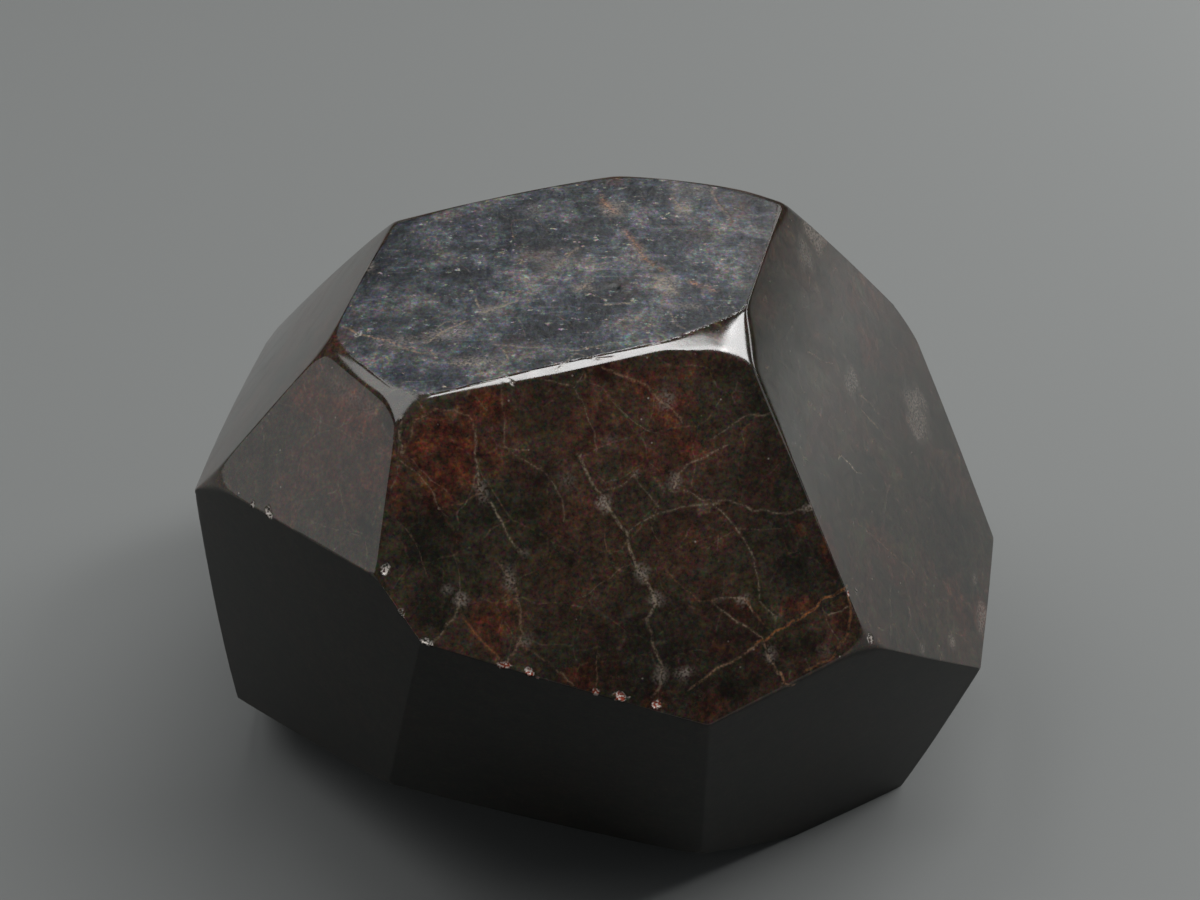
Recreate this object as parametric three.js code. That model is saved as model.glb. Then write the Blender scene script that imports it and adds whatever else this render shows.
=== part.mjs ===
// Garnet crystal: one solid stone, grown as a single crystal and polished by hand on each of its facets.
// Millimetres, +Z up. The stone lies on its flat resting face at z = 0. The front is towards -Y, the
// right towards +X, and the origin is under the middle of the stone.
//
// The solid is the space inside a set of flat facets. Each facet is given by the way it faces and by how
// far it stands from the core, a point on the resting plane near the middle of the stone.

import * as THREE from 'three';
import { ConvexGeometry } from 'three/addons/geometries/ConvexGeometry.js';

// bearing: degrees round the stone from the front, positive towards the right.
// tilt: degrees up from level, so 90 faces the sky and -90 faces the floor.
// reach: millimetres from the core to the facet, measured square to the facet.
const FACETS = {
  top_table: { bearing: -34, tilt: 88, reach: 42.7 },

  front_shoulder: { bearing: 17, tilt: 36, reach: 41.5 },
  right_shoulder: { bearing: 74.5, tilt: 32.5, reach: 33.7 },
  back_right_shoulder: { bearing: 148, tilt: 36, reach: 26.8 },
  back_shoulder: { bearing: 169, tilt: 36, reach: 24.1 },
  back_left_shoulder: { bearing: -158.5, tilt: 40.5, reach: 26.5 },
  left_shoulder: { bearing: -101.5, tilt: 38, reach: 35.1 },
  front_left_shoulder: { bearing: -49, tilt: 34, reach: 44.2 },

  front_wall: { bearing: -7, tilt: -17.5, reach: 23.7 },
  front_right_wall: { bearing: 29.5, tilt: -15.5, reach: 24.9 },
  right_foot_wall: { bearing: 79.5, tilt: -14.5, reach: 24.2 },
  right_wall: { bearing: 118.5, tilt: 7.5, reach: 23.0 },
  back_right_wall: { bearing: 147, tilt: -10, reach: 17.9 },
  back_wall: { bearing: 178, tilt: -6, reach: 17.2 },
  back_left_wall: { bearing: -140, tilt: -7, reach: 20.6 },
  left_wall: { bearing: -93.5, tilt: 2, reach: 25.7 },
  front_left_wall: { bearing: -43.5, tilt: -7, reach: 27.4 },

  front_left_undercut: { bearing: -24.5, tilt: -49, reach: 11.2 },
  front_undercut: { bearing: -10, tilt: -54, reach: 11.2 },
  right_undercut: { bearing: 130, tilt: -44, reach: 11.6 },
  back_undercut: { bearing: -170, tilt: -44, reach: 8.6 },
  left_undercut: { bearing: -114, tilt: -42, reach: 14.4 },

  resting_face: { bearing: 0, tilt: -90, reach: 0 },
};

// Long narrow bevels, polished along the edge between two facets. Width is in millimetres.
const EDGE_BEVELS = [
  { between: ['top_table', 'front_left_shoulder'], width: 1.2 },
  { between: ['top_table', 'front_shoulder'], width: 0.35 },
  { between: ['top_table', 'back_left_shoulder'], width: 0.8 },
  { between: ['top_table', 'back_shoulder'], width: 0.8 },
  { between: ['top_table', 'back_right_shoulder'], width: 0.6 },
];

// Small facets that take the point off a corner where three facets meet. Depth is in millimetres.
const CORNER_BEVELS = [
  { at: ['top_table', 'front_shoulder', 'right_shoulder'], depth: 0.5 },
  { at: ['top_table', 'front_shoulder', 'front_left_shoulder'], depth: 0.35 },
  { at: ['top_table', 'left_shoulder', 'front_left_shoulder'], depth: 0.3 },
  { at: ['front_shoulder', 'right_shoulder', 'front_right_wall'], depth: 0.4 },
  { at: ['front_shoulder', 'front_left_shoulder', 'front_left_wall'], depth: 0.2 },
  { at: ['left_shoulder', 'front_left_shoulder', 'front_left_wall'], depth: 0.3 },
  { at: ['left_shoulder', 'back_left_shoulder', 'left_wall'], depth: 0.4 },
  { at: ['back_left_shoulder', 'back_left_wall', 'left_wall'], depth: 0.4 },
  { at: ['right_shoulder', 'right_wall', 'back_right_shoulder'], depth: 0.4 },
];

// A corner counts as inside when it passes a facet by no more than this, in millimetres.
const CORNER_TOLERANCE = 1e-4;
// Three facets whose normals span less volume than this are taken as never meeting in one corner.
const LEAST_SPAN = 1e-6;

const GARNET_COLOUR = 0x2c1411;
const GARNET_ROUGHNESS = 0.12;

// The way a facet faces, as a unit vector.
function facing(bearing, tilt) {
  const round = THREE.MathUtils.degToRad(bearing);
  const up = THREE.MathUtils.degToRad(tilt);
  return new THREE.Vector3(
    Math.cos(up) * Math.sin(round),
    -Math.cos(up) * Math.cos(round),
    Math.sin(up),
  );
}

// The one point that three facets share, or null when they have none.
function meetingPoint(a, b, c) {
  const span = a.normal.dot(b.normal.clone().cross(c.normal));
  if (Math.abs(span) < LEAST_SPAN) return null;
  const point = b.normal.clone().cross(c.normal).multiplyScalar(a.reach);
  point.addScaledVector(c.normal.clone().cross(a.normal), b.reach);
  point.addScaledVector(a.normal.clone().cross(b.normal), c.reach);
  return point.divideScalar(span);
}

// A bevel faces halfway between its two facets, and lies below their edge by as much as its width asks.
function edgeBevel(a, b, width) {
  const sum = a.normal.clone().add(b.normal);
  const edgeReach = (a.reach + b.reach) / sum.length();
  const depth = (width / 2) * Math.tan(a.normal.angleTo(b.normal) / 2);
  return { normal: sum.normalize(), reach: edgeReach - depth };
}

// A corner bevel faces evenly between its three facets.
function cornerBevel(a, b, c, depth) {
  const normal = a.normal.clone().add(b.normal).add(c.normal).normalize();
  return { normal, reach: normal.dot(meetingPoint(a, b, c)) - depth };
}

// Every corner of the solid: a meeting point of three facets that no other facet cuts off.
function cornersOf(facets) {
  const corners = [];
  for (let i = 0; i < facets.length; i += 1) {
    for (let j = i + 1; j < facets.length; j += 1) {
      for (let k = j + 1; k < facets.length; k += 1) {
        const point = meetingPoint(facets[i], facets[j], facets[k]);
        if (point === null) continue;
        const isInside = facets.every((facet) => facet.normal.dot(point) <= facet.reach + CORNER_TOLERANCE);
        if (isInside) corners.push(point);
      }
    }
  }
  return corners;
}

function crystalFacets() {
  const named = {};
  for (const [name, facet] of Object.entries(FACETS)) {
    named[name] = { normal: facing(facet.bearing, facet.tilt), reach: facet.reach };
  }
  const bevels = EDGE_BEVELS.map(({ between, width }) => {
    const [first, second] = between.map((name) => named[name]);
    return edgeBevel(first, second, width);
  });
  const nips = CORNER_BEVELS.map(({ at, depth }) => {
    const [first, second, third] = at.map((name) => named[name]);
    return cornerBevel(first, second, third, depth);
  });
  return [...Object.values(named), ...bevels, ...nips];
}

// The polished stone, moved so that the origin is under the middle of its outline.
function garnetCrystal() {
  const geometry = new ConvexGeometry(cornersOf(crystalFacets()));
  geometry.computeBoundingBox();
  const { min, max } = geometry.boundingBox;
  geometry.translate(-(min.x + max.x) / 2, -(min.y + max.y) / 2, -min.z);

  const garnet = new THREE.MeshStandardMaterial({
    color: GARNET_COLOUR,
    roughness: GARNET_ROUGHNESS,
    metalness: 0,
    flatShading: true,
  });
  const stone = new THREE.Mesh(geometry, garnet);
  stone.name = 'garnet_crystal';
  return stone;
}

const part = new THREE.Group();
part.add(garnetCrystal());

export default part;
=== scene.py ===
import math

import bpy
import numpy as np
from mathutils import Matrix, Vector
from mathutils.geometry import delaunay_2d_cdt
from mathutils.kdtree import KDTree


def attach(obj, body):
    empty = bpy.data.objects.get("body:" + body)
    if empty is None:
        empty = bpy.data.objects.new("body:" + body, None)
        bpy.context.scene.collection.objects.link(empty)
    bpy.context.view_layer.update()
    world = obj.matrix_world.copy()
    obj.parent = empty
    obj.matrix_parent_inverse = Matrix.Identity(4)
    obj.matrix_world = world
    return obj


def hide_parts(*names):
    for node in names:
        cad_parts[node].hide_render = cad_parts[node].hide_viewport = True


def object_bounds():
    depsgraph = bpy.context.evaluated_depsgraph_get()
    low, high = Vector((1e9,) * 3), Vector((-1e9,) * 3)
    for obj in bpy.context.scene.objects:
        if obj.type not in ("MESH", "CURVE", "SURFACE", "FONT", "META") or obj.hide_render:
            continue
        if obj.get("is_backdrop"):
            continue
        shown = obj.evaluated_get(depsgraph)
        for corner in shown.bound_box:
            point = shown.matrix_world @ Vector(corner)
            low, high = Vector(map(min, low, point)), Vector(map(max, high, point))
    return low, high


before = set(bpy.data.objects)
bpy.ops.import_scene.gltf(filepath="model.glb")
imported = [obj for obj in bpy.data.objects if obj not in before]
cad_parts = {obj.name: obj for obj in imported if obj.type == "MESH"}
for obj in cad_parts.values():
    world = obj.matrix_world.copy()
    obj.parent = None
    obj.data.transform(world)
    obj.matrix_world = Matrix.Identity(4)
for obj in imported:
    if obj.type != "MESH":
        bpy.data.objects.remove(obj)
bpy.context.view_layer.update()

# ---------------------------------------------------------------------------------------------
# Garnet crystal
# A single crystal of garnet, dark red-brown to olive black, with no pieces of its own. It grew in
# rock, was broken out, and its facets were then ground flat and polished by hand.
# ---------------------------------------------------------------------------------------------

MM = 0.001

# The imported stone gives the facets. From here on, places on the stone are in millimetres.
cad_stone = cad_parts["garnet_crystal"].data
cad_stone.calc_loop_triangles()
cad_points = np.array([vertex.co for vertex in cad_stone.vertices]) / MM
corners, corner_of_point = np.unique(np.round(cad_points, 3), axis=0, return_inverse=True)
cad_triangles = np.array([triangle.vertices[:] for triangle in cad_stone.loop_triangles])
corner_triangles = corner_of_point.reshape(-1)[cad_triangles]


def unit(vector):
    return vector / np.linalg.norm(vector)


def facing(bearing, tilt):
    """The way a facet faces: bearing in degrees from the front towards the right, tilt up from level."""
    round_by, up_by = math.radians(bearing), math.radians(tilt)
    level = math.cos(up_by)
    return np.array([level * math.sin(round_by), -level * math.cos(round_by), math.sin(up_by)])


# A facet lies level when its normal rises or falls by more than this.
LEVEL = 0.99


def level_axes(normal):
    """Two axes that lie in a facet: one level and to the right, the other up the slope."""
    across = np.cross([0, 0, 1], normal)
    if abs(normal[2]) > LEVEL:
        across = np.array([1.0, 0, 0]) - normal * normal[0]
    return unit(across), np.cross(normal, unit(across))


def outline(facet_triangles, normal):
    """The corners round the edge of a facet, in order, from the triangles that fill it."""
    found = np.unique(np.array(facet_triangles))
    across, upward = level_axes(normal)
    offsets = corners[found] - corners[found].mean(0)
    return found[np.argsort(np.arctan2(offsets @ upward, offsets @ across))].tolist()


def middle_of(flat):
    """The centre of area of a flat outline, and its area."""
    after = np.roll(flat, -1, axis=0)
    cross = flat[:, 0] * after[:, 1] - after[:, 0] * flat[:, 1]
    return ((flat + after) * cross[:, None]).sum(0) / (3 * cross.sum()), cross.sum() / 2


# Triangles belong to one facet when they face the same way and lie in its plane, as near as these say.
LIKE_NORMALS = 0.9995
IN_PLANE = 0.02

facets = []
spans = np.cross(
    corners[corner_triangles[:, 1]] - corners[corner_triangles[:, 0]],
    corners[corner_triangles[:, 2]] - corners[corner_triangles[:, 0]],
)
for index in np.argsort(-np.linalg.norm(spans, axis=1)):
    normal = unit(spans[index])
    own_corners = corners[corner_triangles[index]]
    for facet in facets:
        lies_in = (np.abs(own_corners @ facet["normal"] - facet["reach"]) < IN_PLANE).all()
        if normal @ facet["normal"] > LIKE_NORMALS and lies_in:
            facet["triangles"].append(tuple(corner_triangles[index]))
            break
    else:
        reach = normal @ own_corners[0]
        facets.append({"normal": normal, "reach": reach, "triangles": [tuple(corner_triangles[index])]})

# A ground facet is never quite flat. Its crown is the radius of its gentle bulge, in millimetres. A bevel
# has a tight crown across it and a gentler one along it. The resting face is as good as flat.
FACET_CROWN = 430
BEVEL_CROWN_ACROSS = 20
BEVEL_CROWN_ALONG = 260
RESTING_CROWN = 1e9
# A facet smaller than this, in square millimetres, is a bevel or a corner that was taken off. It is a
# corner when it reaches less than this from its middle, and then it bulges tightly both ways.
LARGEST_BEVEL = 32
CORNER_REACH = 2.5
# The bulge stops growing this far beyond the facet's own corners.
BULGE_MARGIN = 0.3
for facet in facets:
    loop = outline(facet["triangles"], facet["normal"])
    right, up = level_axes(facet["normal"])
    start = corners[loop].mean(0)
    flat = np.stack([(corners[loop] - start) @ right, (corners[loop] - start) @ up], axis=1)
    shift, area = middle_of(flat)
    flat = flat - shift
    facet.update(name="", loop=loop, right=right, up=up, flat=flat)
    facet["middle"] = start + right * shift[0] + up * shift[1]
    # The bulge follows the long and the short way of the facet.
    values, ways = np.linalg.eigh(np.cov(flat.T))
    facet["ways"] = [right * way[0] + up * way[1] for way in ways.T]
    facet["reach_of_ways"] = [np.abs(flat @ way).max() + BULGE_MARGIN for way in ways.T]
    facet["crowns"] = [FACET_CROWN, FACET_CROWN]
    if area < LARGEST_BEVEL:
        is_corner = facet["reach_of_ways"][1] < CORNER_REACH
        facet["crowns"] = [BEVEL_CROWN_ACROSS, BEVEL_CROWN_ACROSS if is_corner else BEVEL_CROWN_ALONG]
    if facet["normal"][2] < -LEVEL:
        facet["crowns"] = [RESTING_CROWN, RESTING_CROWN]

# The facets that show best, by bearing and tilt in degrees.
NAMED = {
    "top_table": (-34, 88),
    "front_shoulder": (17, 36),
    "right_shoulder": (74.5, 32.5),
    "front_left_shoulder": (-49, 34),
    "left_shoulder": (-101.5, 38),
    "front_left_wall": (-43.5, -7),
    "front_wall": (-7, -17.5),
    "front_right_wall": (29.5, -15.5),
}
named = {}
for name, (bearing, tilt) in NAMED.items():
    named[name] = max(facets, key=lambda facet: facet["normal"] @ facing(bearing, tilt))
    named[name]["name"] = name
# The front left shoulder bulges more than the rest, and the right shoulder less.
named["front_left_shoulder"]["crowns"] = [300, 300]
named["right_shoulder"]["crowns"] = [800, 800]


def waves(points, seed, size, count=24):
    """Smooth random waves about -1 to 1, with humps and hollows of about that size in millimetres."""
    random = np.random.default_rng(seed)
    ways = random.normal(size=(count, 3))
    ways *= (random.uniform(0.6, 1.5, count) * math.pi / size / np.linalg.norm(ways, axis=1))[:, None]
    phases = random.uniform(0, 2 * math.pi, count)
    return np.sin(points @ ways.T + phases).sum(1) / math.sqrt(count)


def rough(points, seed, layers):
    """Waves of several sizes together. Each layer is how high they are and about how wide."""
    return sum(high * waves(points, seed + number, size) for number, (high, size) in enumerate(layers))


def ramp(values, start, end):
    """0 up to the start, 1 from the end on, and evenly in between."""
    return np.clip((values - start) / (end - start), 0, 1)


# Healed fractures, colour patches and chips. The stone cracked and healed while it grew, which left pale
# threads, and coloured blocks between them. Grinding left small chips along the edges. Places are in
# millimetres, right and up a facet from its middle.

# Each fracture: how strongly it shows, how warm it is, its half width, and the points it passes.
FRACTURES = {
    "front_shoulder": [
        (0.55, 0.5, 0.08, [(-11.8, 7.2), (-10.8, 8.8), (-9.6, 9.1), (-7.8, 8.6), (-7.6, 7.6)]),
        (0.8, 0.1, 0.09, [(-7.6, 7.6), (-7.9, 6.0), (-7.9, 4.6), (-7.4, 3.1), (-7.0, 1.8), (-6.3, 0.5)]),
        (0.45, 0.3, 0.08, [(-5.4, 9.9), (-5.8, 9.0), (-5.9, 7.6), (-6.1, 6.5), (-5.3, 5.6), (-4.3, 4.9)]),
        (0.4, 0.1, 0.08, [(-4.3, 4.9), (-3.6, 3.8), (-3.3, 2.9), (-3.5, 1.6)]),
        (0.5, 0.1, 0.07, [(-3.2, 9.9), (-1.6, 9.1), (-1.2, 8.3), (-0.9, 7.2), (-0.7, 6.3), (-0.8, 5.3)]),
        (0.3, 0.1, 0.06, [(-1.6, 9.1), (-0.8, 9.9)]),
        (0.85, 0.1, 0.12, [(-1.8, 5.0), (-1.5, 3.7), (-0.9, 2.6), (-0.5, 1.4), (0.1, 0.2), (0.2, -1.1)]),
        (0.8, 0.1, 0.12, [(0.2, -1.1), (0.5, -2.2), (0.9, -3.1), (1.2, -4.3), (0.4, -5.0)]),
        (0.55, 0.2, 0.10, [(0.4, -5.0), (0.5, -6.4), (0.8, -7.7), (0.7, -8.8), (0.1, -9.7)]),
        (0.55, 0.1, 0.08, [(-0.6, 2.9), (0.4, 3.0), (1.2, 3.4), (1.7, 2.3), (2.3, 1.3)]),
        (0.55, 0.1, 0.08, [(0.2, 0.1), (1.3, 0.6), (2.8, 0.9), (4.6, 1.1), (6.0, 0.8)]),
        (0.65, 0.1, 0.08, [(4.0, 1.9), (5.0, 1.2), (6.6, 0.7), (8.2, 0.1), (9.7, -0.4), (11.7, -0.6)]),
        (0.7, 0.1, 0.08, [
            (5.6, 1.0), (6.3, -0.1), (7.0, -1.2), (7.4, -2.6), (7.5, -4.2), (7.6, -5.3), (8.2, -6.3),
        ]),
        (0.95, 1.0, 0.12, [(13.1, -5.5), (11.5, -6.1), (9.8, -6.8), (8.3, -7.4), (6.9, -8.0)]),
        (0.7, 0.5, 0.10, [(6.9, -8.0), (5.5, -8.4), (4.1, -8.8), (3.2, -9.3), (2.5, -9.7)]),
        (0.8, 0.2, 0.08, [
            (6.9, -5.9), (6.6, -4.9), (5.6, -4.8), (4.7, -4.8), (5.2, -5.6), (6.2, -6.4), (7.3, -7.6),
        ]),
        (0.5, 0.8, 0.08, [(6.7, -5.1), (7.1, -6.2), (7.6, -7.2)]),
        (0.8, 0.4, 0.10, [(7.4, -8.0), (7.7, -9.0), (8.0, -9.9)]),
        (1.0, 0.7, 0.10, [(8.0, -9.9), (8.3, -10.5), (8.7, -10.8), (9.1, -10.9)]),
        (0.55, 0.1, 0.08, [(6.3, 4.7), (7.3, 5.2), (8.7, 5.5), (10.0, 5.5)]),
        (0.75, 0.2, 0.10, [(6.9, 3.9), (5.6, 3.6), (4.5, 3.4), (3.9, 2.9), (3.5, 2.3)]),
        (0.4, 0.1, 0.06, [(0.7, 7.7), (1.5, 6.7), (2.3, 5.9), (3.1, 5.5)]),
        (0.6, 0.5, 0.12, [(0.4, 9.9), (1.5, 9.3), (2.5, 8.7), (3.3, 7.7), (4.2, 6.9), (4.5, 6.2)]),
        (0.45, 0.2, 0.07, [(-12.1, 6.8), (-11.5, 5.9), (-10.9, 5.0), (-10.5, 3.9), (-10.2, 3.1)]),
        (0.4, 0.3, 0.06, [(-11.4, 6.6), (-10.6, 5.4), (-9.9, 4.5)]),
        (0.35, 0.7, 0.08, [(-10.5, 3.6), (-9.2, 3.7), (-8.0, 4.0)]),
        (0.35, 0.1, 0.06, [(-10.1, 0.6), (-10.0, -0.6), (-10.1, -1.7)]),
        (0.7, 0.2, 0.10, [(-10.1, -1.7), (-10.8, -2.7), (-11.6, -3.5), (-12.2, -3.9)]),
        (0.6, 0.9, 0.09, [(-10.2, -2.6), (-9.6, -3.9), (-8.9, -5.0), (-8.3, -5.8)]),
        (0.5, 0.4, 0.14, [
            (-7.4, -0.3), (-7.0, -1.6), (-6.9, -3.0), (-7.0, -4.4), (-7.6, -5.3), (-8.3, -5.8),
        ]),
        (0.45, 0.4, 0.08, [(-7.2, -4.8), (-6.0, -5.8), (-5.2, -6.9), (-4.5, -8.0)]),
        (0.45, 0.6, 0.07, [(-2.9, -6.8), (-3.1, -7.7), (-3.4, -8.5)]),
        (0.45, 0.9, 0.14, [(13.2, -6.2), (13.0, -7.6), (12.4, -8.8), (11.2, -9.7), (9.7, -10.1)]),
        (0.7, 0.1, 0.07, [(11.6, -7.1), (12.3, -7.0), (12.9, -6.8)]),
        (0.4, 0.3, 0.06, [(11.2, -6.6), (11.6, -7.8), (12.0, -8.7)]),
        (0.3, 0.2, 0.06, [(-3.4, -3.1), (-1.6, -2.3), (-0.1, -1.6)]),
        (0.4, 0.7, 0.08, [(2.2, -2.6), (3.1, -3.8), (4.0, -4.6), (4.8, -4.9)]),
        (0.3, 0.5, 0.06, [(-12.6, 3.0), (-12.0, 1.4), (-11.8, 0.0)]),
        (0.25, 0.2, 0.05, [(2.3, 1.3), (2.0, 0.9), (1.6, 0.2), (1.9, -0.8)]),
        (0.3, 0.2, 0.05, [(5.0, -1.8), (6.0, -1.2), (7.0, -1.0), (9.4, -1.4)]),
    ],
    "front_left_shoulder": [
        (0.5, -1.0, 0.07, [(1.4, 4.1), (2.1, 4.7), (2.8, 5.3)]),
        (0.3, 0.2, 0.06, [(1.8, -3.1), (3.6, -2.5), (5.2, -1.8)]),
        (0.25, 0.3, 0.06, [(-5.0, 1.4), (-2.0, 2.0), (1.4, 2.6), (4.4, 3.3)]),
        (0.5, -1.0, 0.09, [(4.4, 4.8), (4.8, 4.0), (5.1, 3.4)]),
        (0.8, 0.2, 0.06, [(4.2, 5.3), (5.2, 3.4)]),
    ],
    "right_shoulder": [
        (0.9, 0.1, 0.08, [(-5.7, 3.8), (-5.2, 3.6), (-5.0, 2.9), (-4.8, 1.9), (-4.4, 1.4)]),
        (0.35, 0.3, 0.12, [(0.3, 3.2), (0.7, 1.9), (1.0, 0.9)]),
        (0.3, 0.3, 0.12, [(1.2, 4.1), (1.8, 2.5), (2.1, 1.4)]),
        (0.25, 0.3, 0.10, [(-1.6, 9.4), (-0.6, 7.9), (0.1, 7.1)]),
        (0.25, 0.5, 0.10, [(-8.0, 0.2), (-7.2, -1.8), (-6.2, -4.0), (-5.4, -6.6)]),
        (0.2, 0.1, 0.08, [(-4.6, -1.7), (-2.0, -1.8)]),
        (0.25, 0.2, 0.08, [(-12.4, -5.8), (-10.8, -5.2), (-8.8, -4.4)]),
    ],
    "top_table": [
        (1.0, 0.1, 0.14, [(2.7, -3.6), (3.3, -3.5), (3.9, -3.4)]),
        (0.9, 0.2, 0.16, [(1.0, -2.2), (1.5, -1.9), (1.9, -1.4)]),
        (0.75, 0.7, 0.29, [(2.4, 8.4), (2.9, 7.2), (3.5, 6.4)]),
        (0.83, 0.7, 0.29, [(4.0, 4.2), (4.4, 2.9), (5.0, 1.6), (5.7, 0.7), (6.3, 0.0)]),
        (0.9, 0.8, 0.26, [(7.9, -1.2), (8.7, -1.7), (9.4, -2.1)]),
        (1.0, 0.1, 0.21, [(5.9, -0.8), (6.5, -1.5), (7.0, -2.4)]),
        (0.75, 0.2, 0.1, [(6.6, -4.3), (6.8, -5.3), (7.4, -6.0)]),
        (0.9, 0.2, 0.12, [(-7.6, -6.8), (-6.9, -6.1), (-6.2, -5.5), (-5.6, -5.1)]),
        (0.75, 0.1, 0.1, [(-6.4, -5.2), (-6.9, -5.1), (-7.2, -5.6), (-6.8, -6.0)]),
        (0.68, 0.1, 0.09, [(-3.8, -7.4), (-1.5, -7.8), (0.8, -7.9), (2.6, -7.6)]),
        (0.68, 0.1, 0.09, [(-0.2, -9.6), (1.0, -8.2), (2.0, -8.7), (3.4, -8.5)]),
        (0.75, 0.2, 0.1, [(-3.6, -9.8), (-3.0, -8.7), (-3.4, -7.6)]),
        (0.68, 0.5, 0.16, [(-13.0, -5.2), (-11.4, -6.2), (-10.0, -6.6), (-9.0, -7.6), (-7.4, -8.2)]),
        (0.6, 0.1, 0.13, [(-8.4, -8.4), (-6.6, -9.0), (-4.8, -9.2)]),
        (0.6, 0.1, 0.13, [(-5.2, -3.0), (-4.6, -4.2), (-3.2, -3.2), (-1.2, -3.0)]),
        (0.52, 0.3, 0.21, [(-2.0, -1.5), (0.0, 0.6), (1.0, 2.4)]),
        (0.6, 0.4, 0.18, [(9.6, 9.0), (9.9, 8.0), (10.6, 5.0)]),
        (0.52, 0.4, 0.21, [(7.2, 8.2), (7.4, 6.6)]),
    ],
}

# Each patch: middle, half width, half height, and how strongly it shows.
RED_PATCHES = {
    "front_shoulder": [
        (-9.7, 6.2, 2.3, 2.7, 0.95), (-10.6, 4.6, 1.4, 1.3, 0.6), (-6.8, 8.8, 1.6, 1.4, 0.9),
        (-6.9, 6.6, 0.9, 1.6, 0.6), (0.6, 9.9, 1.2, 0.6, 0.9), (2.7, 8.6, 1.1, 0.7, 0.75),
        (4.3, 6.8, 1.4, 1.2, 0.6), (4.7, 4.6, 1.9, 1.2, 0.7), (-0.4, 6.4, 2.2, 2.4, 0.25),
        (2.0, 4.4, 2.6, 1.7, 0.4), (-8.3, -3.4, 1.5, 1.7, 0.85), (-8.5, -4.9, 0.7, 0.8, 1.0),
        (-3.8, -7.7, 1.3, 1.1, 1.0), (10.7, -1.6, 0.4, 0.4, 1.0), (-9.6, 1.8, 0.3, 0.3, 0.9),
        (12.3, -3.5, 0.8, 2.0, 0.8), (12.5, -7.6, 0.7, 1.3, 0.6), (9.6, -6.1, 1.6, 0.6, 0.8),
        (6.1, -5.7, 0.9, 0.8, 0.9), (4.7, -7.7, 0.9, 0.5, 0.7), (0.4, -9.8, 1.1, 0.7, 1.0),
        (3.6, -11.0, 1.3, 0.9, 0.7), (-1.5, -1.0, 6.0, 4.5, 0.22), (-12.6, 5.0, 0.9, 2.5, 0.5),
        (6.3, 9.0, 2.4, 0.9, 0.35), (-2.0, -8.0, 1.0, 1.4, 0.4),
    ],
    "front_left_shoulder": [
        (1.0, 4.0, 3.4, 1.5, 0.75), (-2.5, 2.8, 2.4, 1.0, 0.5), (4.6, 1.0, 1.2, 2.4, 0.4),
        (3.2, -0.6, 2.2, 1.6, 0.25),
    ],
    "right_shoulder": [
        (6.2, 4.2, 2.0, 2.6, 0.8), (7.8, 7.2, 1.6, 1.4, 0.6), (11.0, 5.0, 1.6, 2.0, 0.8),
        (-2.0, -12.4, 2.2, 2.2, 0.6), (-0.2, -15.2, 2.0, 1.1, 1.0), (4.9, -1.7, 1.4, 0.8, 0.5),
        (-7.0, -3.6, 1.2, 3.0, 0.4), (0.6, 9.6, 1.6, 1.2, 0.25),
    ],
    "top_table": [
        (-1.0, 0.8, 1.8, 1.5, 0.5), (11.0, 6.6, 1.4, 2.4, 0.6), (3.4, 10.0, 0.7, 0.7, 0.9),
        (11.9, 1.6, 0.6, 1.5, 0.7), (4.2, -1.6, 1.0, 1.2, 0.4), (-2.4, -7.6, 2.4, 1.0, 0.4),
        (-12.8, -6.0, 0.8, 0.9, 0.7), (5.0, -5.4, 1.5, 0.8, 0.3), (9.0, 3.6, 1.8, 1.2, 0.3),
    ],
    "left_shoulder": [(2.0, -1.0, 1.8, 2.4, 0.3)],
    "front_left_wall": [(-9.6, 6.0, 1.2, 3.0, 0.8), (-10.6, -2.0, 0.8, 4.0, 0.5)],
}

BLACK_PATCHES = {
    "front_shoulder": [
        (-4.8, 3.2, 2.0, 2.4, 0.55), (-11.6, 2.0, 2.0, 1.9, 0.75), (8.6, 1.6, 2.4, 2.6, 0.5),
        (10.4, -3.2, 1.5, 2.4, 0.7), (9.8, -8.6, 1.7, 1.2, 0.9), (5.2, -10.2, 2.2, 1.2, 0.9),
        (-11.8, -1.6, 1.4, 2.0, 0.6), (3.4, 0.0, 2.4, 1.1, 0.3), (-3.2, 8.0, 1.8, 1.6, 0.4),
        (3.4, -6.6, 1.8, 1.6, 0.4), (8.0, 8.0, 1.6, 1.6, 0.3), (9.2, 3.4, 1.4, 1.4, 0.4),
        (-6.0, -5.0, 0.8, 0.8, 0.4), (-5.2, -1.6, 1.5, 2.0, 0.25), (2.0, -8.5, 11.0, 5.0, 0.62),
        (10.0, -1.0, 4.0, 7.0, 0.35),
    ],
    # The first two table patches lie on the two dark pits among the chips, as painted shade.
    "top_table": [
        (3.3, -1.8, 0.5, 0.6, 1.0), (6.0, -0.1, 0.4, 0.4, 0.9), (1.6, 4.6, 1.3, 1.1, 0.8),
        (-1.8, 3.3, 1.2, 0.8, 0.7), (6.5, 8.9, 2.4, 0.8, 0.5), (1.6, -8.8, 2.2, 0.8, 0.8),
        (-5.4, -8.4, 1.4, 0.5, 0.7), (-9.6, 2.4, 0.9, 0.6, 0.6), (1.2, 2.4, 0.5, 1.6, 0.5),
        (-8.5, -4.5, 2.2, 1.6, 0.35), (12.8, 5.6, 0.7, 3.0, 0.6), (11.3, -2.4, 0.9, 2.4, 0.5),
        (8.6, -5.0, 1.8, 0.9, 0.4), (-3.0, 6.6, 3.5, 1.2, 0.3), (-11.0, 0.0, 7.0, 11.0, 0.35),
        (0.0, 9.5, 14.0, 3.5, 0.25), (3.0, -9.5, 12.0, 2.5, 0.3),
    ],
    "right_shoulder": [
        (0.0, 0.0, 40, 40, 0.55), (10.5, 1.0, 2.5, 1.4, 0.7), (3.0, 14.4, 3.4, 1.2, 0.6),
        (-12.0, -3.2, 1.2, 1.8, 0.5), (2.0, -9.0, 6.0, 4.0, 0.75), (6.0, 2.0, 6.0, 9.0, 0.65),
    ],
}

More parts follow.
